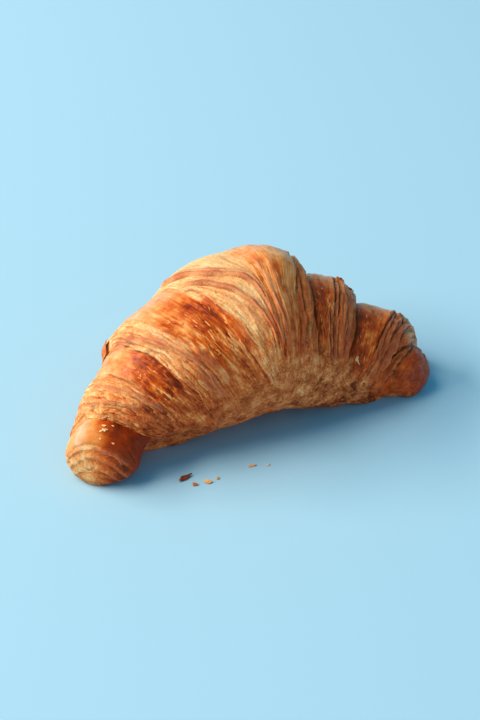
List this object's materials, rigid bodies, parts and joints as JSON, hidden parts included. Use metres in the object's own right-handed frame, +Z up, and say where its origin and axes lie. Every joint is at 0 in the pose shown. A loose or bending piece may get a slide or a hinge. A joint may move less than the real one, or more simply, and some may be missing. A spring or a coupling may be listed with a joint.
{
  "type": "croissant",
  "caption": "Baked crescent roll of layered dough with overlapping wraps, pale cut layers, a glossy brown crust and a flat base.",
  "frame": {"origin": "on the surface the croissant rests on, under the middle of its bounding box", "axes": "+X along the line between the tips, towards the shorter tip; +Y towards the outer, convex side of the crescent; +Z up"},
  "size_m": [0.1588, 0.071, 0.0653],
  "materials": {
    "crust": "golden brown baked crust, glossy and dark red-brown where egg-washed, pale and matte on the cut layers"
  },
  "bodies": {
    "root": {"croissant": "crust"}
  },
  "joints": []
}
